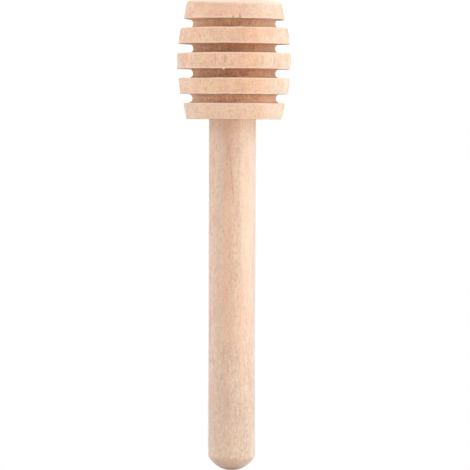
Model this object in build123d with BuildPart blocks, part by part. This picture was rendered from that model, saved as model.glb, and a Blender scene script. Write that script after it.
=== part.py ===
from build123d import *
from math import radians, tan
import os

# A small honey dipper turned from wood. All lengths are in millimetres.
# Z runs along the axis, from the flat end of the head at zero to the stick's domed tip.

# The head: a barrel with rings, turned between a flat end and a flat shoulder
head_length = 20.0
belly_radius = 9.75
end_radius = 8.1
barrel_power = 1.6
flank_steps = 12
flank_shares = [step / flank_steps for step in range(flank_steps + 1)]

# The grooves that hold the honey, and the rings that they leave
ring_count = 5
groove_width = 1.6
core_radius = 6.95
end_ring_extra = 0.35
rim_round = 0.45
edge_break = 0.12

# The stick: a dowel whose free end is sanded to a low dome
stick_radius = 4.0
stick_reach = 60.0
dome_height = 2.5

# The joint: a tenon on the stick in a drilled socket, with a film of glue between them
tenon_radius = 3.0
tenon_length = 11.0
tenon_chamfer = 0.5
tenon_end_gap = 0.4
glue_thickness = 0.1
drill_point_degrees = 118

# How far a cut runs past the surface that it opens
overrun = 1.0

# Sizes that follow from the ones above
ring_thickness = (head_length - end_ring_extra - (ring_count - 1) * groove_width) / ring_count
ring_pitch = ring_thickness + groove_width
groove_round = groove_width / 2
tenon_end = head_length - tenon_length
socket_radius = tenon_radius + glue_thickness
socket_floor = tenon_end - tenon_end_gap
drill_point_depth = socket_radius / tan(radians(drill_point_degrees / 2))
stick_tip = head_length + stick_reach
dome_start = stick_tip - dome_height
dome_radius = (stick_radius**2 + dome_height**2) / (2 * dome_height)


def barrel_radius(height_share):
    """The head's radius at a share of its length: full at the belly, drawn in at both ends."""
    return belly_radius - (belly_radius - end_radius) * abs(1 - 2 * height_share) ** barrel_power


def flank_corners(piece):
    """The circles where the barrel's flank meets a groove or an end face, from the flat end up."""
    circles = piece.edges().filter_by(GeomType.CIRCLE)
    inner_radius = core_radius + groove_round + edge_break
    return circles.filter_by(lambda edge: edge.radius > inner_radius).sort_by(Axis.Z)


# The head is one turned outline, cut by the grooves and by the socket, and spun about Z
with BuildPart() as head:
    with BuildSketch(Plane.XZ):
        with BuildLine():
            flank = Spline(*[(barrel_radius(share), share * head_length) for share in flank_shares])
            Polyline(flank @ 1, (0, head_length), (0, 0), flank @ 0)
        make_face()
        for groove in range(ring_count - 1):
            groove_height = head_length - ring_thickness - groove_round - groove * ring_pitch
            with Locations((core_radius + groove_round, groove_height)):
                Circle(groove_round, mode=Mode.SUBTRACT)
                Rectangle(
                    belly_radius - core_radius + overrun,
                    groove_width,
                    align=(Align.MIN, Align.CENTER),
                    mode=Mode.SUBTRACT,
                )
        with BuildLine():
            Polyline(
                (0, head_length + overrun),
                (socket_radius, head_length + overrun),
                (socket_radius, socket_floor),
                (0, socket_floor - drill_point_depth),
                close=True,
            )
        make_face(mode=Mode.SUBTRACT)
    revolve(axis=Axis.Z)
    fillet(flank_corners(head)[1:], radius=edge_break)
    fillet(flank_corners(head)[0], radius=rim_round)

# The stick's shoulder seats on the head, above its tenon, and its tip is a crisp-edged dome
with BuildPart() as stick:
    with BuildSketch(Plane.XZ):
        with BuildLine():
            Polyline(
                (0, stick_tip),
                (0, tenon_end),
                (tenon_radius - tenon_chamfer, tenon_end),
                (tenon_radius, tenon_end + tenon_chamfer),
                (tenon_radius, head_length),
                (stick_radius, head_length),
                (stick_radius, dome_start),
            )
            RadiusArc((stick_radius, dome_start), (0, stick_tip), -dome_radius)
        make_face()
    revolve(axis=Axis.Z)

# The glue fills the clearance round the tenon and the corner that the tenon's chamfer leaves
with BuildPart() as glue_film:
    with BuildSketch(Plane.XZ):
        with BuildLine():
            Polyline(
                (tenon_radius, head_length),
                (socket_radius, head_length),
                (socket_radius, tenon_end),
                (tenon_radius - tenon_chamfer, tenon_end),
                (tenon_radius, tenon_end + tenon_chamfer),
                close=True,
            )
        make_face()
    revolve(axis=Axis.Z)

head.part.label = "head"
stick.part.label = "stick"
glue_film.part.label = "glue_film"

os.makedirs("parts", exist_ok=True)
export_step(head.part, "parts/head.step")
export_step(stick.part, "parts/stick.step")
export_step(glue_film.part, "parts/glue_film.step")
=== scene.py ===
import math
import random

import bpy
from mathutils import Matrix, Quaternion, Vector, noise


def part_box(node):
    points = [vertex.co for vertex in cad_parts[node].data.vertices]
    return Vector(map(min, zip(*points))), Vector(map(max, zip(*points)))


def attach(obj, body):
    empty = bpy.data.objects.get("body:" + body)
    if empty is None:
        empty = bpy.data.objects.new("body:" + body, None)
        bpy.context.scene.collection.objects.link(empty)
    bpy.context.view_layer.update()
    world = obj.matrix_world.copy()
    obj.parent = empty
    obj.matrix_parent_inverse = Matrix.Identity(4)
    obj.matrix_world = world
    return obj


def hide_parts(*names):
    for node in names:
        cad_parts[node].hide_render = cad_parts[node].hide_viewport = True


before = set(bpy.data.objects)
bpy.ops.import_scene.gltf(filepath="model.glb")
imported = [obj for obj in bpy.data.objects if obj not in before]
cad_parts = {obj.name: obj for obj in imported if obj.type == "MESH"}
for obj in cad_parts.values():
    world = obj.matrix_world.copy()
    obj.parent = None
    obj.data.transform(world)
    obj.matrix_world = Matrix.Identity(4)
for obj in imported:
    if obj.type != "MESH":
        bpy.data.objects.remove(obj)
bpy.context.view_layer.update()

# The stick
# A birch dowel, planed round along the grain and sanded. One end has a shoulder and a tenon
# that is glued into the head, and the free end is sanded to a low dome with a slightly eased edge.
mm = 0.001
stick_low, stick_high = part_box("stick")
head_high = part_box("head")[1]
glue_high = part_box("glue_film")[1]
stick_radius = stick_high.x
stick_tip = stick_high.z
shoulder_height = head_high.z
glue_thickness = 0.1 * mm
tenon_radius = glue_high.x - glue_thickness
tenon_end = stick_low.z
tenon_chamfer = 0.5 * mm
dome_height = 2.5 * mm
dome_radius = (stick_radius**2 + dome_height**2) / (2 * dome_height)
dome_start = stick_tip - dome_height

# How finely the dowel is meshed: points round it, and how far apart the rows lie on the hidden
# ends, the tenon, the shank, the eased edge and the dome
stick_sides = 360
hidden_row = 1 * mm
tenon_row = 2 * mm
stick_row = 0.16 * mm
ease_row = 0.1 * mm
dome_row = 0.15 * mm


def line_to(outline, end, spacing):
    """Carries an outline on in a straight line, with points no further apart than spacing."""
    start = Vector(outline[-1])
    count = math.ceil((Vector(end) - start).length / spacing)
    for step in range(1, count + 1):
        outline.append(tuple(start.lerp(Vector(end), step / count)))


def arc_to(outline, centre, turn, spacing):
    """Carries an outline on round a centre, through an angle that is positive anticlockwise."""
    spoke = Vector(outline[-1]) - Vector(centre)
    count = math.ceil(abs(turn) * spoke.length / spacing)
    for step in range(1, count + 1):
        outline.append(tuple(Vector(centre) + Matrix.Rotation(turn * step / count, 2) @ spoke))


def turn_on_lathe(name, outline, sides, marks, shape):
    """Spins an outline of (radius, height) points, from axis to axis, into one closed mesh.

    shape(row, angle, radius, height, out) gives the point where the real wood lies, out being
    the outline's outward direction there, and a value for each attribute that marks names.
    """
    rows = len(outline) - 2
    points = [Vector((0, 0, outline[0][1]))]
    values = [[0.0] * len(marks)]
    for row in range(1, rows + 1):
        radius, height = outline[row]
        along = Vector(outline[row + 1]) - Vector(outline[row - 1])
        out = Vector((along.y, -along.x)).normalized()
        for side in range(sides):
            point, point_values = shape(row, side * math.tau / sides, radius, height, out)
            points.append(point)
            values.append(point_values)
    points.append(Vector((0, 0, outline[-1][1])))
    values.append([0.0] * len(marks))
    last = len(points) - 1
    faces = []
    for side in range(sides):
        after = (side + 1) % sides
        faces.append((0, 1 + after, 1 + side))
        for row in range(rows - 1):
            near, far = 1 + row * sides, 1 + (row + 1) * sides
            faces.append((near + side, near + after, far + after, far + side))
        far = 1 + (rows - 1) * sides
        faces.append((far + side, far + after, last))
    mesh = bpy.data.meshes.new(name)
    mesh.from_pydata(points, [], faces)
    mesh.polygons.foreach_set("use_smooth", [True] * len(mesh.polygons))
    for number, mark in enumerate(marks):
        attribute = mesh.attributes.new(mark, "FLOAT", "POINT")
        attribute.data.foreach_set("value", [point_values[number] for point_values in values])
    piece = bpy.data.objects.new(name, mesh)
    bpy.context.scene.collection.objects.link(piece)
    return piece


def grain(angle, radius, height, across, along, seed):
    """Noise from -1 to 1 that is stretched along the grain, with its sizes in metres."""
    place = Vector((math.cos(angle) * radius / across, math.sin(angle) * radius / across, height / along))
    return noise.noise(place + Vector((seed, 2.3 * seed, 3.1 * seed)))


def rise_at(angle, radius, height, stray):
    """How far one stray of a surface, as (rise, across, along, seed), lifts it at a point."""
    rise, across, along, seed = stray
    return rise * grain(angle, radius, height, across, along, seed)


# How the planed surface strays, as (rise, size across the grain, size along it, seed): long low
# waves, and fibres that stand up a little
planed_waves = (0.03 * mm, 3 * mm, 16 * mm, 4)
planed_fibres = (0.006 * mm, 0.3 * mm, 4 * mm, 7)

# A thin waist, where the dowel was planed a little deeper, and a slight bow along X
waist_height = 58 * mm
waist_length = 11 * mm
waist_depth = 0.05 * mm
bow_height = 62 * mm
bow_length = 16 * mm
bow = 0.05 * mm

# How the sanded dome strays from the true one: it is fuller, from just below its start on, and
# round at its edge, which wanders up and down
dome_fullness = 0.05 * mm
full_low, full_high = dome_start - 0.8 * mm, dome_start + 0.2 * mm
edge_ease = 1.4 * mm
edge_wander = (0.06 * mm, 0.8 * mm, 1, 9)
edge_reach = 0.3 * mm

# A dull patch that widens towards the tip, where the planer lifted the fibres in tufts
tear_side = math.radians(-127)
tear_width, tear_spread = 0.8 * mm, 1.0 * mm
tear_low, tear_high = 66.5 * mm, 79.6 * mm
tear_depth = 0.03 * mm
tuft_width, tuft_length = 0.24 * mm, 0.6 * mm

# Dark fibres, each from one side angle and height to another. The first two are long and lie
# side by side. All are a little sunk, wander to the side and are weaker in some stretches.
rng = random.Random(5)
dark_fibres = [(math.radians(-81.3), 24.0 * mm, math.radians(-96.2), 35.6 * mm),
               (math.radians(-78.3), 24.4 * mm, math.radians(-77.6), 27.3 * mm)]
for fibre in range(16):
    side, low = rng.uniform(-0.4, 3.6), rng.uniform(21, 66) * mm
    dark_fibres.append((side, low, side + rng.uniform(-0.15, 0.15), low + rng.uniform(2, 9) * mm))
fibre_width = 0.1 * mm
fibre_depth = 0.015 * mm
fibre_wander, wander_length = 0.06 * mm, 1.2 * mm
weak_length = 0.5 * mm


def angle_between(first, second):
    """The turn from one angle to another, the short way round."""
    return (first - second + math.pi) % math.tau - math.pi


def fibre_at(angle, radius, height, fibres, half_width):
    """How plainly one of some fibres shows at a point: 0 is not at all, and 1 is fully."""
    strongest = 0.0
    for start, low, end, high in fibres:
        share = (height - low) / (high - low)
        if 0 < share < 1:
            apart = angle_between(angle, start + (end - start) * share) * radius
            apart += fibre_wander * grain(0, 1, height, 1, wander_length, start)
            strength = math.exp(-((apart / half_width) ** 2)) * min(1, 12 * share, 5 * (1 - share))
            strength *= 0.75 + 0.8 * grain(0, 1, height, 1, weak_length, 50 + start)
            strongest = max(strongest, strength)
    return strongest


def tear_at(angle, radius, height):
    """How far, from 0 to 1, a point lies in the dull patch, and how far its grain is torn out."""
    share = (height - tear_low) / (tear_high - tear_low)
    if not 0 < share < 1:
        return 0.0, 0.0
    aside = angle_between(angle, tear_side) * radius / (tear_width + tear_spread * share**4)
    patch = math.exp(-(aside**4)) * min(1, 4 * share, 8 * (1 - share))
    tufts = grain(angle, radius, height, tuft_width, tuft_length, 15)
    return patch, max(0, min(1, patch * (0.25 + 2 * tufts)))


# How far painted shade reaches up from the shoulder, where the head shades the stick, where the
# sanding left coarser fibres (near the shoulder and from the middle on) and how coarse, and where
# the painted shade starts that darkens the stick towards its tip
shoulder_shade_length = 3 * mm
coarse_length = 7 * mm
coarse_low, coarse_high = 38 * mm, 60 * mm
least_coarse, shoulder_coarse = 0.25, 0.9
tip_shade_low, tip_shade_high = 56 * mm, 68 * mm

# Streaks of redder, paler and browner wood, as (side angle, half width, lowest, highest)
red_streak = (math.radians(-116), 0.42 * mm, 47 * mm, 69 * mm)
pale_streak = (math.radians(-97), 1.0 * mm, 58 * mm, 79 * mm)
brown_streak = (math.radians(-79), 0.9 * mm, 14 * mm, 35 * mm)


def streak_at(angle, radius, height, streak):
    """How far, from 0 to 1, a point lies on a streak."""
    side, half_width, low, high = streak
    share = (height - low) / (high - low)
    aside = angle_between(angle, side) * radius / half_width
    return max(0, min(1, 5 * share, 5 * (1 - share))) * math.exp(-(aside**2))


# What the wood says of each of its points, besides where the point lies
stick_marks = ("dark_fibre", "dull", "torn", "shoulder_shade", "tip_shade", "red_streak", "pale_streak",
               "brown_streak", "coarse")


def planed_dowel(row, angle, radius, height, out):
    """Above its shoulder the dowel isn't quite round or straight, and fibres stand up a little."""
    # Painted shade next to the shoulder, where the head shades the stick
    shoulder_shade = math.exp(-(((height - shoulder_height) / shoulder_shade_length) ** 2))
    if height < shoulder_height + stick_row:
        point = Vector((radius * math.cos(angle), radius * math.sin(angle), height))
        return point, (0.0, 0.0, 0.0, shoulder_shade, 0.0, 0.0, 0.0, 0.0, 0.0)
    fibre = fibre_at(angle, radius, height, dark_fibres, fibre_width)
    dull, torn = tear_at(angle, radius, height)
    red = streak_at(angle, radius, height, red_streak)
    pale = streak_at(angle, radius, height, pale_streak)
    brown = streak_at(angle, radius, height, brown_streak)
    on_dome = max(0, min(1, (height - full_low) / (full_high - full_low)))
    # Painted shade that darkens the stick towards its tip, where less light falls, but not on the dome
    tip_shade = max(0, min(1, (height - tip_shade_low) / (tip_shade_high - tip_shade_low))) * (1 - on_dome)
    coarse = max(least_coarse, min(1, (height - coarse_low) / (coarse_high - coarse_low)))
    near_shoulder = math.exp(-(((height - shoulder_height) / coarse_length) ** 2))
    coarse = max(coarse, shoulder_coarse * near_shoulder)
    move = rise_at(angle, radius, height, planed_waves) + rise_at(angle, radius, height, planed_fibres)
    move -= waist_depth * math.exp(-(((height - waist_height) / waist_length) ** 2))
    move += dome_fullness * on_dome - tear_depth * torn - fibre_depth * fibre
    rim = math.exp(-(((height - dome_start) / edge_reach) ** 2))
    lift = rim * rise_at(angle, radius, 0, edge_wander)
    shift = bow * math.exp(-(((height - bow_height) / bow_length) ** 2))
    radius += out.x * move
    height += out.y * move + lift
    point = Vector((radius * math.cos(angle) + shift, radius * math.sin(angle), height))
    return point, (fibre, dull, torn, shoulder_shade, tip_shade, red, pale, brown, coarse)


stick_outline = [(0, tenon_end)]
line_to(stick_outline, (tenon_radius - tenon_chamfer, tenon_end), hidden_row)
line_to(stick_outline, (tenon_radius, tenon_end + tenon_chamfer), hidden_row)
line_to(stick_outline, (tenon_radius, shoulder_height), tenon_row)
line_to(stick_outline, (stick_radius, shoulder_height), hidden_row)
dome_centre = stick_tip - dome_radius
ease_rise = math.sqrt((dome_radius - edge_ease) ** 2 - (stick_radius - edge_ease) ** 2)
ease_turn = math.atan2(ease_rise, stick_radius - edge_ease)
line_to(stick_outline, (stick_radius, dome_centre + ease_rise), stick_row)
arc_to(stick_outline, (stick_radius - edge_ease, dome_centre + ease_rise), ease_turn, ease_row)
arc_to(stick_outline, (0, dome_centre), math.pi / 2 - ease_turn, dome_row)
stick_outline[-1] = (0, stick_tip)
stick = turn_on_lathe("stick_dowel", stick_outline, stick_sides, stick_marks, planed_dowel)


def linear(hex_colour):
    """A colour written as sRGB hex, as the linear values that a shader takes."""
    levels = [int(hex_colour[first:first + 2], 16) / 255 for first in (1, 3, 5)]
    values = [level / 12.92 if level <= 0.04045 else ((level + 0.055) / 1.055) ** 2.4 for level in levels]
    return values + [1]


def node(tree, kind, inputs=None, **settings):
    """Adds a shader node, makes its settings, and fills or links its inputs.

    An input goes by its name or, where names repeat, by its number. A map range takes its limits
    as 1 and 2 and its results as 3 and 4, and a colour mix its share as 0 and its colours as 6
    and 7.
    """
    made = tree.nodes.new(kind)
    for setting, value in settings.items():
        setattr(made, setting, value)
    for socket, value in (inputs or {}).items():
        if isinstance(value, bpy.types.NodeSocket):
            tree.links.new(value, made.inputs[socket])
        else:
            made.inputs[socket].default_value = value
    return made


def empty_material(name):
    """A new material that has no nodes yet."""
    material = bpy.data.materials.new(name)
    material.use_nodes = True
    material.node_tree.nodes.clear()
    return material


# The grain of birch, as (across, along, detail): how wide and how long each kind of mark is in
# millimetres, and how many finer levels it has. Fibres and scratches are really under 0.05 mm
# wide, and are drawn as coarse as they need to show.
birch_marks = {
    "drift": (5, 30, 1),
    "streaks": (0.8, 14, 2),
    "fibres": (0.24, 2.4, 2),
    "short_fibres": (0.2, 0.8, 1),
    "raised": (3, 5, 0),
    "blush": (1.1, 4.5, 1),
    "gold": (1.3, 4, 1),
    "scratches": (1.5, 0.24, 2),
    "torn_grain": (0.26, 1.3, 2),
    "lint": (0.2, 0.45, 1),
}

# How far the growth layers drift to the side along the grain, in millimetres, the slope at which
# they are turned from X towards Y, and the shares of the blank's width up to which they are
# closer-grained and from which they are open
layer_drift = 0.8
layer_turn = 0.15
close_grained, open_grained = 0.18, 0.3

# Rays lie in cells of this size across and along the grain, in millimetres. A ray is full up to
# one share of its cell and gone at the other. Each cell has a chance from 0 to 1, by which its
# ray is missing, faint or full.
ray_width, ray_length = 0.34, 1.7
ray_core, ray_edge = 0.14, 0.28
ray_missing, ray_full = 0.5, 0.95

# How squarely a surface faces along the grain where end grain, and its open ends with painted
# shade, start to show, and where they show fully
end_grain_starts, end_grain_full = 0.35, 0.9
end_shade_start, end_shade_full = 0.78, 0.96


def birch_figure(tree, marks, layers, blank_width, layer_lean, middle, smoothing):
    """What birch shows whichever way it is worked, as sockets: growth layers, marks and rays.

    The growth layers stand nearly square to X. They are (share of the blank's width, colour)
    pairs, the two outer ones first, and shift aside by layer_lean for each millimetre of height
    above the middle. The first layers across are closer-grained, and smoothing is how strongly
    fibres show there. Width and middle are in millimetres.
    """
    surface = node(tree, "ShaderNodeTexCoord").outputs["Object"]
    place = node(tree, "ShaderNodeVectorMath", {0: surface, "Scale": 1 / mm}, operation="SCALE").outputs[0]
    wood = {}
    for seed, (mark, (across, along, detail)) in enumerate(marks.items()):
        size = (1 / across, 1 / across, 1 / along)
        stretched = node(tree, "ShaderNodeVectorMath", {0: place, 1: size}, operation="MULTIPLY").outputs[0]
        settings = {"Vector": stretched, "W": 3.7 * seed, "Scale": 1.0, "Detail": detail, "Roughness": 0.55}
        wood[mark] = node(tree, "ShaderNodeTexNoise", settings, noise_dimensions="4D").outputs["Fac"]
    level = node(tree, "ShaderNodeVectorMath", {0: place, 1: (1, layer_turn, layer_lean)},
                 operation="DOT_PRODUCT").outputs["Value"]
    bent = node(tree, "ShaderNodeMath", {0: wood["drift"], 1: layer_drift, 2: level},
                operation="MULTIPLY_ADD").outputs[0]
    first_side = layer_drift / 2 + layer_lean * middle - blank_width / 2
    share = node(tree, "ShaderNodeMapRange", {"Value": bent, 1: first_side, 2: first_side + blank_width})
    bands = node(tree, "ShaderNodeValToRGB", {0: share.outputs[0]})
    stops = bands.color_ramp.elements
    for number, (layer_share, hex_colour) in enumerate(layers):
        stop = stops[number] if number < 2 else stops.new(layer_share)
        stop.position = layer_share
        stop.color = linear(hex_colour)
    wood["layers"] = bands.outputs["Color"]
    shown = node(tree, "ShaderNodeMapRange",
                 {"Value": share.outputs[0], 1: close_grained, 2: open_grained, 3: smoothing})
    for mark in ("fibres", "short_fibres", "scratches", "torn_grain", "lint"):
        wood[mark] = node(tree, "ShaderNodeMath", {0: wood[mark], 1: shown.outputs[0]},
                          operation="MULTIPLY").outputs[0]
    ray_size = (1 / ray_width, 1 / ray_width, 1 / ray_length)
    ray_space = node(tree, "ShaderNodeVectorMath", {0: place, 1: ray_size}, operation="MULTIPLY").outputs[0]
    ray = node(tree, "ShaderNodeTexVoronoi", {"Vector": ray_space, "Scale": 1.0})
    spot = node(tree, "ShaderNodeMapRange",
                {"Value": ray.outputs["Distance"], 1: ray_edge, 2: ray_core}).outputs[0]
    chance = node(tree, "ShaderNodeSeparateColor", {0: ray.outputs["Color"]}).outputs[0]
    some = node(tree, "ShaderNodeMapRange",
                {"Value": chance, 1: ray_missing, 2: ray_full}).outputs[0]
    wood["rays"] = node(tree, "ShaderNodeMath", {0: spot, 1: some}, operation="MULTIPLY").outputs[0]
    facing = node(tree, "ShaderNodeNewGeometry").outputs["Normal"]
    facing = node(tree, "ShaderNodeSeparateXYZ", {0: facing}).outputs[2]
    steep = node(tree, "ShaderNodeMath", {0: facing}, operation="ABSOLUTE").outputs[0]
    wood["end_grain"] = node(tree, "ShaderNodeMapRange",
                             {"Value": steep, 1: end_grain_starts, 2: end_grain_full}).outputs[0]
    wood["open_ends_and_shade"] = node(tree, "ShaderNodeMapRange",
                             {"Value": steep, 1: end_shade_start, 2: end_shade_full}).outputs[0]
    uneven = node(tree, "ShaderNodeMapRange", {"Value": wood["raised"], 1: 0.35, 2: 0.65}).outputs[0]
    wood["raised_fibres"] = node(tree, "ShaderNodeMath", {0: wood["fibres"], 1: uneven},
                                 operation="MULTIPLY").outputs[0]
    return wood


def stained(tree, wood, stains):
    """The colour of the wood: its growth layers, with stains laid over them one by one.

    A stain is (mark, value where it starts to show, value where it shows fully, how strongly it
    shows there, how it is laid on, colour).
    """
    colour = wood["layers"]
    for mark, low, high, strength, blend, stain in stains:
        share = node(tree, "ShaderNodeMapRange", {"Value": wood[mark], 1: low, 2: high, 4: strength})
        colour = node(tree, "ShaderNodeMix", {0: share.outputs[0], 6: colour, 7: linear(stain)},
                      data_type="RGBA", blend_type=blend).outputs[2]
    return colour


# Bare wood: its IOR, and the faint sheen of the fine fibres that any tool leaves standing
wood_ior = 1.5
fibre_sheen = 0.2


def leave_bare(tree, wood, colour, rises, relief_height, smooth, rough):
    """Ends a material as bare wood: fibres and other marks in relief, and rougher on the fibres."""
    relief = wood["fibres"]
    for mark, rise in rises:
        relief = node(tree, "ShaderNodeMath", {0: wood[mark], 1: rise, 2: relief},
                      operation="MULTIPLY_ADD").outputs[0]
    bump = node(tree, "ShaderNodeBump", {"Strength": 1.0, "Distance": relief_height, "Height": relief})
    roughness = node(tree, "ShaderNodeMapRange", {"Value": wood["fibres"], 3: smooth, 4: rough})
    shader = node(tree, "ShaderNodeBsdfPrincipled",
                  {"Base Color": colour, "Roughness": roughness.outputs[0], "IOR": wood_ior,
                   "Sheen Weight": fibre_sheen, "Normal": bump.outputs[0]})
    node(tree, "ShaderNodeOutputMaterial", {0: shader.outputs[0]})


# Sanded birch: pale and matt, with bands of tan, pink and cream along the grain, soft pink and
# gold patches, fine fibres, short brown rays and faint cross scratches from the sanding belt.
# Towards the tip it is rougher, with dark pores and pale lint between them. Painted shade
# darkens it next to the shoulder, where the head shades it, and towards the tip, and the end
# grain of the dome is darker with painted shade too.
dowel_wood = empty_material("birch, planed and sanded")
tree = dowel_wood.node_tree
# Besides the real bands, the layers run paler and less red towards both sides along X, most at -X where the
# key lamp falls, which is partly painted light
dowel_layers = ((0.0, "#F0DCCA"), (1.0, "#EED9CA"), (0.06, "#F3D8C0"), (0.16, "#F3D9C1"),
                (0.235, "#F3D6BD"), (0.26, "#F1CCB3"), (0.36, "#F0CCB3"), (0.42, "#EDC4AA"),
                (0.45, "#EBC1A7"), (0.59, "#E6BCA4"), (0.61, "#DFC1AA"), (0.75, "#DCC1AB"),
                (0.78, "#E9C5A9"), (0.86, "#EACCB4"), (0.9, "#EED4C1"))
wood = {}
for mark in stick_marks:
    wood[mark] = node(tree, "ShaderNodeAttribute", attribute_name=mark).outputs["Fac"]
smoothing = node(tree, "ShaderNodeMapRange", {"Value": wood["coarse"], 1: least_coarse, 3: 0.84, 4: 1.0})
wood.update(birch_figure(tree, birch_marks, dowel_layers, blank_width=8, layer_lean=0.006, middle=45,
                         smoothing=smoothing.outputs[0]))
for result, mark in (("coarse_fibres", "torn_grain"), ("coarse_lint", "lint")):
    wood[result] = node(tree, "ShaderNodeMath", {0: wood[mark], 1: wood["coarse"]},
                        operation="MULTIPLY").outputs[0]
dowel_stains = (("blush", 0.45, 0.68, 0.45, "MIX", "#F4BCA8"),
                ("gold", 0.45, 0.68, 0.36, "MIX", "#EDD3A8"),
                ("pale_streak", 0.0, 1.0, 0.85, "MIX", "#F3D0B8"),
                ("brown_streak", 0.0, 1.0, 1.0, "MULTIPLY", "#F4F4F1"),
                ("streaks", 0.5, 0.75, 0.25, "MIX", "#D3B79C"),
                ("raised_fibres", 0.35, 0.7, 0.25, "MIX", "#B98F6E"),
                ("short_fibres", 0.5, 0.7, 0.52, "MIX", "#C39C80"),
                ("scratches", 0.5, 0.75, 0.5, "MIX", "#CFAC90"),
                ("coarse_fibres", 0.44, 0.64, 0.42, "MIX", "#C6A287"),
                ("coarse_lint", 0.5, 0.68, 0.3, "MIX", "#FAE4D0"),
                ("rays", 0.0, 1.0, 0.22, "MIX", "#A5764F"),
                ("end_grain", 0.0, 1.0, 0.06, "MIX", "#C99F7E"),
                # Darker end grain and painted shade on the dome's end, which faces away from the light
                ("open_ends_and_shade", 0.0, 1.0, 1.0, "MULTIPLY", "#A8988F"),
                ("red_streak", 0.0, 1.0, 0.7, "MIX", "#F6C8A8"),
                ("dark_fibre", 0.0, 1.0, 0.4, "MIX", "#A8754F"),
                ("dull", 0.0, 1.0, 0.62, "MIX", "#E6C7B0"),
                ("torn", 0.0, 1.0, 0.42, "MIX", "#B2957F"),
                # Painted shade next to the shoulder, where the head shades the stick
                ("shoulder_shade", 0.0, 1.0, 1.0, "MULTIPLY", "#FFF9F7"),
                # Painted shade towards the tip, where less light falls
                ("tip_shade", 0.0, 1.0, 1.0, "MULTIPLY", "#F7FBFC"))
dowel_rises = (("rays", -1.2), ("scratches", 0.5), ("short_fibres", 0.6))
leave_bare(tree, wood, stained(tree, wood, dowel_stains), dowel_rises, relief_height=0.018 * mm,
           smooth=0.55, rough=0.72)
stick.data.materials.append(dowel_wood)
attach(stick, "root")
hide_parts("stick")

# The glue
# A film of yellowish wood glue, brushed on the tenon and set in the socket. It is only seen
# where the joint is opened.
smear_size = 1.5 * mm
smear_height = 0.03 * mm
wood_glue = empty_material("wood glue, set")
tree = wood_glue.node_tree
surface = node(tree, "ShaderNodeTexCoord").outputs["Object"]
smears = node(tree, "ShaderNodeTexNoise",
              {"Vector": surface, "Scale": 1 / smear_size, "Detail": 3.0}).outputs["Fac"]
colour = node(tree, "ShaderNodeMix", {0: smears, 6: linear("#D9C08C"), 7: linear("#E8D9AE")},
              data_type="RGBA").outputs[2]
bump = node(tree, "ShaderNodeBump", {"Strength": 1.0, "Distance": smear_height, "Height": smears})
shader = node(tree, "ShaderNodeBsdfPrincipled", {"Base Color": colour, "Roughness": 0.35,
                                                 "Normal": bump.outputs[0], "IOR": 1.47})
node(tree, "ShaderNodeOutputMaterial", {0: shader.outputs[0]})
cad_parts["glue_film"].data.materials.clear()
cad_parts["glue_film"].data.materials.append(wood_glue)

# The head
# A birch blank, turned to a barrel and cut with four round-nosed grooves, which leave five
# rings. The cuts cross the grain, so the ring edges are slightly torn and furry.
belly_radius = head_high.x
end_radius = 8.1 * mm
barrel_power = 1.6
ring_count = 5
groove_width = 1.6 * mm
core_radius = 6.95 * mm
end_ring_extra = 0.35 * mm
rim_round = 0.45 * mm
edge_break = 0.12 * mm
head_length = head_high.z
ring_thickness = (head_length - end_ring_extra - (ring_count - 1) * groove_width) / ring_count
socket_radius = glue_high.x
tenon_end_gap = 0.4 * mm
socket_floor = tenon_end - tenon_end_gap
drill_angle = math.radians(118)
drill_point = socket_radius / math.tan(drill_angle / 2)

# How finely the head is meshed: points round it, how far apart the rows lie on the flat end, the
# grooves, the rounded edges and the socket, and how many rows a ring's flank has
head_sides = 640
foot_row = 0.4 * mm
head_row = 0.14 * mm
round_row = 0.05 * mm
socket_row = 1 * mm
flank_rows = 19

# How far the tool strayed from the true barrel: outward at each ring's lower edge, middle and
# upper edge, outward at each groove's floor, up at each ring's upper edge, and down at its lower
# edge
ring_strays = ((-0.06 * mm, -0.08 * mm, -0.17 * mm),
               (-0.02 * mm, 0, -0.04 * mm),
               (-0.02 * mm, 0, -0.08 * mm),
               (-0.05 * mm, 0, 0.10 * mm),
               (-0.13 * mm, 0, -0.06 * mm))
floor_strays = (0.04 * mm, 0, 0.06 * mm, 0.14 * mm)
edge_lifts = (0.12 * mm, 0.06 * mm, 0.04 * mm, 0.03 * mm, 0.02 * mm)
edge_drops = (0, 0, 0.01 * mm, 0.02 * mm, 0.05 * mm)

# How far each ring edge, from the flat end up, leans down along X, and lies off the axis
edge_leans = (0, 0.012, 0, 0.006, 0, 0.004, 0, 0.004, 0, 0.005)
edge_shifts = (0, 0, 0, 0, 0, 0.12 * mm, 0.06 * mm, 0.04 * mm, 0, 0.05 * mm)

# The shoulder's edge is softer than the ring edges, and the head lies a little off the stick's
# axis along X
shoulder_round = 0.22 * mm
off_centre = -0.27 * mm


def barrel(height):
    """The barrel's radius at a height."""
    return belly_radius - (belly_radius - end_radius) * abs(1 - 2 * height / head_length) ** barrel_power


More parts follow.
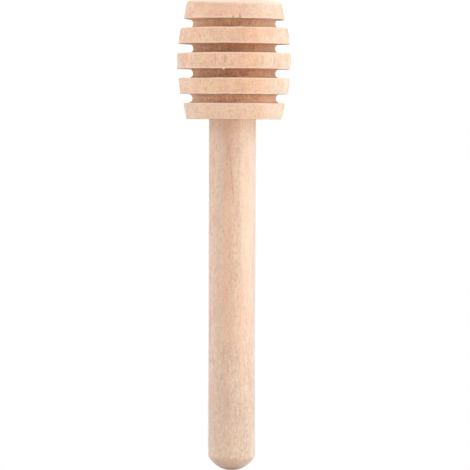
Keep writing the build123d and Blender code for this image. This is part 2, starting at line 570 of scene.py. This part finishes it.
corners = []
head_outline = [(0, 0)]
bottom = 0
for ring in range(ring_count):
    top = bottom + ring_thickness + (end_ring_extra if ring == 0 else 0)
    next_bottom = top + groove_width
    low_radius = barrel(bottom) + ring_strays[ring][0]
    high_radius = barrel(top) + ring_strays[ring][2]
    top += edge_lifts[ring]
    low = bottom - edge_drops[ring]
    corners += [(low_radius, low), (high_radius, top)]
    low_round = rim_round if ring == 0 else edge_break
    high_round = shoulder_round if ring == ring_count - 1 else edge_break
    line_to(head_outline, (low_radius - low_round, low), foot_row if ring == 0 else head_row)
    arc_to(head_outline, (low_radius - low_round, low + low_round), math.pi / 2, round_row)
    flank_low, flank_high = low + low_round, top - high_round
    for step in range(1, flank_rows + 1):
        share = step / flank_rows
        height = flank_low + (flank_high - flank_low) * share
        straight = low_radius + (high_radius - low_radius) * share
        bulge = barrel(height) - barrel(bottom) - (barrel(top) - barrel(bottom)) * share
        stray = ring_strays[ring][1] * math.sin(math.pi * share)
        head_outline.append((straight + bulge + stray, height))
    arc_to(head_outline, (head_outline[-1][0] - high_round, flank_high), math.pi / 2, round_row)
    if ring < ring_count - 1:
        tool_round = (next_bottom - edge_drops[ring + 1] - top) / 2
        nose = core_radius + floor_strays[ring] + tool_round
        line_to(head_outline, (nose, top), head_row)
        arc_to(head_outline, (nose, top + tool_round), -math.pi, head_row)
    bottom = next_bottom
line_to(head_outline, (socket_radius, head_outline[-1][1]), head_row)
line_to(head_outline, (socket_radius, socket_floor), socket_row)
line_to(head_outline, (0, socket_floor - drill_point), socket_row)
head_outline[-1] = (0, socket_floor - drill_point)

# Each row's nearest ring edge and its distance
row_edges = []
for radius, height in head_outline:
    gaps = [math.dist((radius, height), corner) for corner in corners]
    row_edges.append((gaps.index(min(gaps)), min(gaps)))

# The share of a groove's depth over which the wood still counts as flank
flank_depth_share = 0.05

# How deeply the cutter's heat browns each groove and, last, the shoulder, and how much less brown
# the two sides along X are, which is painted light. The walls that face the flat end are less
# brown too, the more so at -X, which is painted light as well. The first ring carries painted
# shade towards the flat end, less and less up to this length.
browning = (0.79, 0.94, 0.93, 0.81, 0.35)
side_painted_light = 0.42
wall_painted_light, side_wall_painted_light = 0.36, 0.53
flat_end_shade_length = 4 * mm

# How the turned surface strays, as (rise, size round the head, size along the axis, seed): long
# low waves and fine tool marks on the flanks, and torn grain in the grooves
flank_waves = (0.03 * mm, 2.5 * mm, 6 * mm, 8)
tool_marks = (0.006 * mm, 3 * mm, 0.3 * mm, 31)
torn_walls = (0.03 * mm, 0.3 * mm, 0.8 * mm, 12)

# The fibres that stand up on the flanks: how wide and long, how high, and how much higher in the
# furry patches
fur_width, fur_length = 0.25 * mm, 3 * mm
fur_height, furry_height = 0.01 * mm, 0.03 * mm

# The furry patches, as (side angle, height, half width, half height, share). The first two lie
# on the middle ring.
rng = random.Random(23)
furry_patches = [(math.radians(-77), 10.0 * mm, 2.4 * mm, 1.8 * mm, 1.0),
                 (math.radians(-131), 10.1 * mm, 2.0 * mm, 1.8 * mm, 1.0)]
for patch in range(14):
    furry_patches.append((rng.uniform(-0.4, 3.6), rng.uniform(1, 19) * mm, rng.uniform(0.8, 2) * mm,
                          rng.uniform(0.8, 1.8) * mm, 1.0))

# Fibres that the tool tore out of the middle ring or lifted there, each from one side angle and
# height to another
torn_out = ((math.radians(-67.6), 10.2 * mm, math.radians(-68.0), 11.2 * mm),
            (math.radians(-71.7), 9.8 * mm, math.radians(-70.4), 11.3 * mm),
            (math.radians(-79.8), 10.4 * mm, math.radians(-80.1), 11.3 * mm),
            (math.radians(-83.5), 9.5 * mm, math.radians(-83.3), 10.0 * mm),
            (math.radians(-86.7), 9.2 * mm, math.radians(-87.0), 9.8 * mm),
            (math.radians(-87.9), 10.2 * mm, math.radians(-88.2), 11.1 * mm))
lifted = ((math.radians(-69.6), 10.1 * mm, math.radians(-68.9), 11.0 * mm),
          (math.radians(-72.9), 9.3 * mm, math.radians(-72.0), 11.0 * mm),
          (math.radians(-81.0), 10.5 * mm, math.radians(-81.9), 11.1 * mm),
          (math.radians(-82.3), 10.0 * mm, math.radians(-83.8), 10.6 * mm),
          (math.radians(-83.8), 9.3 * mm, math.radians(-85.9), 10.1 * mm),
          (math.radians(-87.9), 9.2 * mm, math.radians(-87.9), 9.9 * mm))
lifted_width = 0.12 * mm
lifted_height = 0.02 * mm

# Patches of paler wood from near the bark, as (side angle, height, half width, half height, share).
# The wide one at -95 degrees on the last ring is painted light, where that ring's flank faces up.
pale_patches = ((math.radians(-122), 1.4 * mm, 4.4 * mm, 2.4 * mm, 1.0),
                (math.radians(-147), 6.2 * mm, 1.8 * mm, 1.5 * mm, 0.8),
                (math.radians(-155), 18.6 * mm, 2.6 * mm, 1.7 * mm, 1.0),
                (math.radians(-95), 18.4 * mm, 6 * mm, 1.6 * mm, 0.5),
                (math.radians(-28), 18.4 * mm, 2.4 * mm, 1.6 * mm, 0.9))

# Dark pits in the grooves, as (side angle, height), and splits that run from a ring edge into
# the ring, as (edge number, side angle, length). The first ones of each are the plainest.
pits = [(math.radians(-76.3), 16.02 * mm), (math.radians(-88.9), 16.36 * mm),
        (math.radians(-93), 16.6 * mm), (math.radians(-97.2), 16.7 * mm),
        (math.radians(-94.4), 16.28 * mm)]
for pit in range(60):
    pits.append((rng.uniform(-math.pi, math.pi), rng.uniform(3, 17) * mm))
pit_size = 0.1 * mm
pit_depth = 0.04 * mm
splits = [(1, math.radians(-96.3), 0.9 * mm), (1, math.radians(-88.6), 0.45 * mm)]
for split in range(24):
    splits.append((rng.randint(1, 9), rng.uniform(-0.6, 3.8), rng.uniform(0.2, 0.5) * mm))
split_width = 0.09 * mm

# Chips out of the ring edges, as (side angle, half width, bite), and splinters that stand up
# from them, as (side angle, half width, length), mostly from the upper edges
rng = random.Random(11)
chips = {number: [] for number in range(len(corners))}
splinters = {number: [] for number in range(len(corners))}
for number in range(1, len(corners)):
    for chip in range(16):
        chips[number].append((rng.uniform(-math.pi, math.pi), rng.uniform(0.1, 0.3) * mm,
                              rng.uniform(0.02, 0.09) * mm))
    for splinter in range(10 if number % 2 else 3):
        splinters[number].append((rng.uniform(-math.pi, math.pi), rng.uniform(0.1, 0.16) * mm,
                                  rng.uniform(0.04, 0.12) * mm))
chips[1] += [(math.radians(-96.5), 0.14 * mm, 0.22 * mm), (math.radians(-93.2), 0.3 * mm, 0.1 * mm),
             (math.radians(-89.5), 0.14 * mm, 0.12 * mm)]
splinters[5].append((math.radians(-80.2), 0.19 * mm, 0.47 * mm))

# How far from a ring edge its chips, its splinters and its painted highlight line reach, the
# splinter and the chip that fray it fully, how far outward a splinter leans for its length, and how
# far a chip sinks for its bite
chip_reach = 0.22 * mm
splinter_reach = 0.12 * mm
edge_line = 0.17 * mm
full_splinter, full_chip = 0.08 * mm, 0.15 * mm
splinter_lean = 0.2
chip_sink = 0.6

# Each ring edge but the rim wanders up and down in a long wave and a short one, which take the
# wood along this far from the edge
edge_hold = 0.5 * mm
ring_wave, ring_wave_length = 0.05 * mm, 2.5 * mm
ring_ripple, ring_ripple_length = 0.035 * mm, 0.4 * mm

# How wide the painted highlight on the rim that the dipper stands on is: its mean, how much
# more it is on one side, how it wanders, and its limits
rim_highlight_mean, rim_highlight_swing, rim_highlight_side = 0.49 * mm, 0.45 * mm, math.radians(210.3)
rim_highlight_wander = (0.12 * mm, 1.2 * mm, 1, 40)
rim_highlight_least, rim_highlight_most = 0.18 * mm, 0.78 * mm

# The socket stays on the stick's axis, and what the head is off it fades out over this length
# before the socket. Points within a hair of the socket or of the flat end stay smooth.
seat_length = 1.5 * mm
hair = 0.01 * mm


def patches_at(angle, radius, height, patches):
    """How much a point is covered by patches, adding up where they overlap."""
    cover = 0
    for side, middle, half_width, half_height, share in patches:
        aside = angle_between(angle, side) * radius / half_width
        cover += share * math.exp(-(aside**2) - ((height - middle) / half_height) ** 2)
    return cover


def dark_at(angle, radius, height, number, gap, grooved):
    """How far, from 0 to 1, a point lies in a groove's pit or in a split of its ring edge."""
    dark = 0
    for side, middle in pits:
        if abs(height - middle) < 4 * pit_size:
            apart = math.hypot(angle_between(angle, side) * radius, height - middle)
            dark = max(dark, grooved * math.exp(-((apart / pit_size) ** 2)))
    for edge_number, side, length in splits:
        if edge_number == number and gap < length:
            apart = angle_between(angle, side) * radius
            dark = max(dark, math.exp(-((apart / split_width) ** 2)) * min(1, 3 * (1 - gap / length)))
    return dark


def ragged_at(angle, radius, number, gap):
    """How deep chips bite into a ring edge at a point, and how far splinters stand up from it."""
    bite, stand = 0, 0
    for side, half_width, depth in chips[number]:
        apart = abs(angle_between(angle, side)) * radius
        if apart < half_width:
            bite += depth * (1 - (apart / half_width) ** 2)
    for side, half_width, length in splinters[number]:
        apart = abs(angle_between(angle, side)) * radius
        if apart < half_width:
            stand += length * (1 - apart / half_width)
    return bite * math.exp(-((gap / chip_reach) ** 2)), stand * math.exp(-((gap / splinter_reach) ** 2))


def browned_and_painted_light_at(angle, depth, number, out):
    """How far, from 0 to 1, the cutter browns a groove point next to a ring edge, less where painted light
    falls.
    """
    cut = min(1, 2 * depth)
    one_side = max(0, min(1, -4 * math.cos(angle)))
    side = 1 - side_painted_light * abs(math.cos(angle)) ** 1.5 * (1 - 0.5 * one_side)
    wall = 1 - max(0, -out.y) * (wall_painted_light + side_wall_painted_light * one_side)
    return cut * cut * (3 - 2 * cut) * browning[(number - 1) // 2] * side * wall


def rim_highlight_at(angle, radius, gap):
    """How far, from 0 to 1, the rim that the dipper stands on carries a painted highlight at a point."""
    width = rim_highlight_mean + rim_highlight_swing * math.cos(angle - rim_highlight_side) + rise_at(angle, radius, 0, rim_highlight_wander)
    return math.exp(-((gap / max(rim_highlight_least, min(rim_highlight_most, width))) ** 4))


head_marks = ("edge", "browned_and_painted_light", "frayed", "furry", "rim_highlight", "pale", "flat_end_shade", "dark", "torn_out",
              "lifted")


def turned_barrel(row, angle, radius, height, out):
    """The turned surface: fibres on the flanks, torn grain in the grooves, ragged ring edges."""
    in_socket = radius < socket_radius + hair and height > hair
    if in_socket or height < hair:
        shift = 0 if in_socket else off_centre
        point = Vector((radius * math.cos(angle) + shift, radius * math.sin(angle), height))
        return point, (0.0, 0.0, 0.0, 0.0, 0.0, 0.0, math.exp(-height / flat_end_shade_length), 0.0, 0.0, 0.0)
    number, gap = row_edges[row]
    up = 1 if number % 2 else -1
    hold = math.exp(-((gap / edge_hold) ** 2))
    depth = max(0, (barrel(height) - radius) / (belly_radius - core_radius) - flank_depth_share)
    grooved = min(1, 4 * depth)
    flank = max(0, min(1, 1.5 * out.x)) * (1 - grooved)
    furry = min(1, flank * patches_at(angle, radius, height, furry_patches))
    pale = min(1, patches_at(angle, radius, height, pale_patches))
    dark = dark_at(angle, radius, height, number, gap, grooved)
    torn = flank * fibre_at(angle, radius, height, torn_out, lifted_width)
    raised = flank * fibre_at(angle, radius, height, lifted, lifted_width)
    browned_and_painted_light = browned_and_painted_light_at(angle, depth, number, out)
    bite, stand = ragged_at(angle, radius, number, gap)
    frayed = min(1, stand / full_splinter + bite / full_chip)
    fur = (fur_height + furry_height * furry) * grain(angle, radius, height, fur_width, fur_length, 5)
    fur += rise_at(angle, radius, height, flank_waves) + rise_at(angle, radius, height, tool_marks)
    move = flank * fur + grooved * rise_at(angle, radius, height, torn_walls)
    move += lifted_height * (raised - torn)
    wander = ring_wave * grain(angle, radius, 0, ring_wave_length, 1, number)
    wander += ring_ripple * grain(angle, radius, 0, ring_ripple_length, 1, 20 + number)
    radius += out.x * (move - pit_depth * dark) - bite + splinter_lean * stand
    height += out.y * move + up * (stand - chip_sink * bite) + (hold * wander if number else 0)
    inner = max(0, min(1, (radius - socket_radius) / seat_length))
    height -= edge_leans[number] * radius * math.cos(angle) * hold * inner
    # A painted highlight along each ring edge but the rim, less where it is split or pitted
    edge = (1 - dark) * math.exp(-((gap / edge_line) ** 2)) if number else 0
    # Painted highlight on the rim that the dipper stands on, weaker on the pale patches
    rim_highlight = 0 if number else (1 - 0.5 * pale) * rim_highlight_at(angle, radius, gap)
    # Painted shade on the first ring, darker towards the flat end
    flat_end_shade = math.exp(-max(0, height) / flat_end_shade_length)
    shift = off_centre * inner + edge_shifts[number] * hold
    point = Vector((radius * math.cos(angle) + shift, radius * math.sin(angle), height))
    return point, (edge, browned_and_painted_light, frayed, furry, rim_highlight, pale, flat_end_shade, dark, torn, raised)


head = turn_on_lathe("head_turned", head_outline, head_sides, head_marks, turned_barrel)

# Turned birch: the same pale wood, but left from the tool. The groove walls are end grain, brown
# from the cutter's heat and rougher, with painted light making them paler on the sides along X
# and on the walls that face the flat end. A painted highlight runs along the torn ring edges as a
# pale line. The first ring carries painted shade towards the flat end, and a painted highlight
# on the rim that the dipper stands on. The flanks are furry in patches.
turned_wood = empty_material("birch, turned")
tree = turned_wood.node_tree
# Besides the real bands, the layers run paler and less red towards both sides along X, most at -X where the
# key lamp falls, which is partly painted light
head_layers = ((0.0, "#F5EBD3"), (1.0, "#FFDDC2"), (0.07, "#F5E1C8"), (0.12, "#F5D9BD"),
               (0.18, "#F9CFB4"), (0.26, "#FEC8A7"), (0.34, "#F6C4A2"), (0.43, "#F7C8AC"),
               (0.55, "#F1C4A8"), (0.68, "#F7CFAF"), (0.83, "#FFD9BD"))

# The pink and gold patches are wider and shorter than on the dowel
turned_marks = dict(birch_marks, blush=(1.9, 2.4, 1), gold=(2.1, 2.8, 1))
wood = birch_figure(tree, turned_marks, head_layers, blank_width=20, layer_lean=0.02, middle=10,
                    smoothing=0.92)
for mark in head_marks:
    wood[mark] = node(tree, "ShaderNodeAttribute", attribute_name=mark).outputs["Fac"]
wood["groove"] = node(tree, "ShaderNodeMapRange", {"Value": wood["browned_and_painted_light"], 1: 0.2, 2: 0.55}).outputs[0]
for result, mark, patch in (("torn_groove", "torn_grain", "groove"), ("groove_lint_and_glints", "fibres", "groove"),
                            ("groove_lines", "scratches", "groove"), ("fur_lines", "fibres", "furry"),
                            ("fur_glints", "torn_grain", "furry")):
    wood[result] = node(tree, "ShaderNodeMath", {0: wood[mark], 1: wood[patch]},
                        operation="MULTIPLY").outputs[0]
turned_stains = (("blush", 0.45, 0.65, 0.7, "MIX", "#F7BCA6"),
                 ("gold", 0.45, 0.65, 0.55, "MIX", "#F6CF9F"),
                 ("pale", 0.0, 1.0, 0.75, "MIX", "#F9DFC7"),
                 # Painted shade towards the flat end
                 ("flat_end_shade", 0.0, 1.0, 1.0, "MULTIPLY", "#F0F5FB"),
                 ("streaks", 0.5, 0.75, 0.25, "MIX", "#D9B696"),
                 ("raised_fibres", 0.35, 0.7, 0.25, "MIX", "#BE9372"),
                 ("short_fibres", 0.5, 0.7, 0.52, "MIX", "#C79C7C"),
                 ("scratches", 0.5, 0.75, 0.6, "MIX", "#D3A98B"),
                 ("rays", 0.0, 1.0, 0.25, "MIX", "#A5764F"),
                 ("end_grain", 0.0, 1.0, 0.2, "MIX", "#C99F7E"),
                 # Brown from the cutter's heat, paler where painted light falls on the sides and the walls
                 # facing the flat end
                 ("browned_and_painted_light", 0.0, 1.0, 1.0, "MULTIPLY", "#CCB8A4"),
                 ("browned_and_painted_light", 0.7, 0.95, 1.0, "MULTIPLY", "#FFF7E8"),
                 ("torn_groove", 0.4, 0.65, 0.45, "MULTIPLY", "#B38A70"),
                 ("groove_lines", 0.45, 0.65, 0.32, "MULTIPLY", "#C5A58C"),
                 # Pale torn fibres in the grooves, partly paler wood and partly painted glints where they
                 # catch the light
                 ("groove_lint_and_glints", 0.5, 0.7, 0.5, "MIX", "#E9B893"),
                 ("fur_lines", 0.42, 0.58, 0.9, "MIX", "#C4966F"),
                 ("fur_glints", 0.45, 0.62, 0.45, "MIX", "#FCE6D2"),
                 ("torn_out", 0.0, 1.0, 0.7, "MIX", "#C99F7B"),
                 ("lifted", 0.0, 1.0, 0.7, "MIX", "#FDDCC0"),
                 # Painted highlight along the ring edges
                 ("edge", 0.0, 1.0, 0.95, "MIX", "#FFE3C9"),
                 # Painted highlight on the rim that the dipper stands on
                 ("rim_highlight", 0.0, 1.0, 0.9, "MIX", "#F6E6DA"),
                 ("frayed", 0.0, 1.0, 0.5, "MIX", "#F8E0C8"),
                 ("dark", 0.0, 1.0, 0.7, "MIX", "#8A5A3C"))
turned_rises = (("rays", -1.2), ("scratches", 0.7), ("short_fibres", 0.6), ("torn_groove", 2.0))
leave_bare(tree, wood, stained(tree, wood, turned_stains), turned_rises, relief_height=0.022 * mm,
           smooth=0.6, rough=0.78)
head.data.materials.append(turned_wood)
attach(head, "root")
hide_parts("head")

# The floor
# A plain pale table of translucent acrylic under the flat end, softly lit from below. To the
# camera it is as white as the background, apart from the object's own shadow.
floor_size = 6.0
floor_mesh = bpy.data.meshes.new("floor")
half = floor_size / 2
floor_corners = [(-half, -half, 0), (half, -half, 0), (half, half, 0), (-half, half, 0)]
floor_mesh.from_pydata(floor_corners, [], [(0, 1, 2, 3)])
floor = bpy.data.objects.new("floor", floor_mesh)
bpy.context.scene.collection.objects.link(floor)


def seen_directly(tree):
    """1 where the camera sees a surface, itself or by a reflection or through glass, else 0."""
    path = node(tree, "ShaderNodeLightPath").outputs
    seen = node(tree, "ShaderNodeMath", {0: path["Is Camera Ray"], 1: path["Is Glossy Ray"]},
                operation="MAXIMUM").outputs[0]
    return node(tree, "ShaderNodeMath", {0: seen, 1: path["Is Transmission Ray"]},
                operation="MAXIMUM").outputs[0]


pale_table = empty_material("white acrylic, matt")
tree = pale_table.node_tree
matt = node(tree, "ShaderNodeBsdfDiffuse", {"Color": linear("#F4F4F4")})
glow_strength = node(tree, "ShaderNodeMapRange", {"Value": seen_directly(tree), 3: 0.4, 4: 0.7}).outputs[0]
glow = node(tree, "ShaderNodeEmission", {"Color": (1, 1, 1, 1), "Strength": glow_strength})
both = node(tree, "ShaderNodeAddShader", {0: matt.outputs[0], 1: glow.outputs[0]})
node(tree, "ShaderNodeOutputMaterial", {0: both.outputs[0]})
floor_mesh.materials.append(pale_table)

# The light
# A bright even room that is darker overhead, a wide soft lamp low on each side, and a large weak
# one in front. Their places and sizes are in metres, and their power is in watts.
room = bpy.data.worlds.new("studio")
bpy.context.scene.world = room
room.use_nodes = True
tree = room.node_tree
tree.nodes.clear()
direction = node(tree, "ShaderNodeTexCoord").outputs["Generated"]
upward = node(tree, "ShaderNodeSeparateXYZ", {0: direction}).outputs[2]
strength = node(tree, "ShaderNodeMapRange", {"Value": upward, 1: 0.35, 2: 0.95, 3: 0.85, 4: 0.0},
                interpolation_type="SMOOTHSTEP").outputs[0]
light = node(tree, "ShaderNodeBackground", {"Color": (1, 1, 1, 1), "Strength": strength})
white = node(tree, "ShaderNodeBackground", {"Color": (1, 1, 1, 1), "Strength": 1.0})
sky = node(tree, "ShaderNodeMixShader", {0: seen_directly(tree), 1: light.outputs[0], 2: white.outputs[0]})
node(tree, "ShaderNodeOutputWorld", {0: sky.outputs[0]})
lamp_aim = Vector((0, 0, 0.035))
for name, place, width, tall, power in (("key lamp", (-0.68, -0.06, 0.03), 0.40, 0.20, 1.85),
                                        ("side lamp", (0.66, -0.10, 0.05), 0.35, 0.20, 1.2),
                                        ("front lamp", (-0.45, -0.72, 0.16), 0.60, 0.40, 1.7)):
    lamp = bpy.data.lights.new(name, "AREA")
    lamp.shape = "RECTANGLE"
    lamp.size, lamp.size_y = width, tall
    lamp.energy = power
    holder = bpy.data.objects.new(name, lamp)
    holder.location = place
    holder.rotation_euler = (lamp_aim - Vector(place)).to_track_quat("-Z", "Y").to_euler()
    holder.visible_camera = False
    bpy.context.scene.collection.objects.link(holder)

# The camera
# It looks level at the dipper from the front and is turned upside down, so that the head is at
# the top of the picture.
picture_width = 470
camera_distance = 450 * mm
camera_height = 18.5 * mm
focal_pixels = 2641.5
aim_height = 39.78 * mm
aside = -0.48 * mm
lean = 0.0025
lens = bpy.data.cameras.new("camera")
lens.sensor_width = 36
lens.lens = lens.sensor_width * focal_pixels / picture_width
lens.clip_start = 0.05
lens.clip_end = 20
camera = bpy.data.objects.new("camera", lens)
camera.location = (aside, -camera_distance, camera_height)
looking = Vector((aside, 0, aim_height)) - camera.location
camera.rotation_mode = "QUATERNION"
camera.rotation_quaternion = looking.to_track_quat("-Z", "Y") @ Quaternion((0, 0, 1), math.pi + lean)
bpy.context.scene.collection.objects.link(camera)
bpy.context.scene.camera = camera
bpy.context.scene.view_settings.view_transform = "Standard"
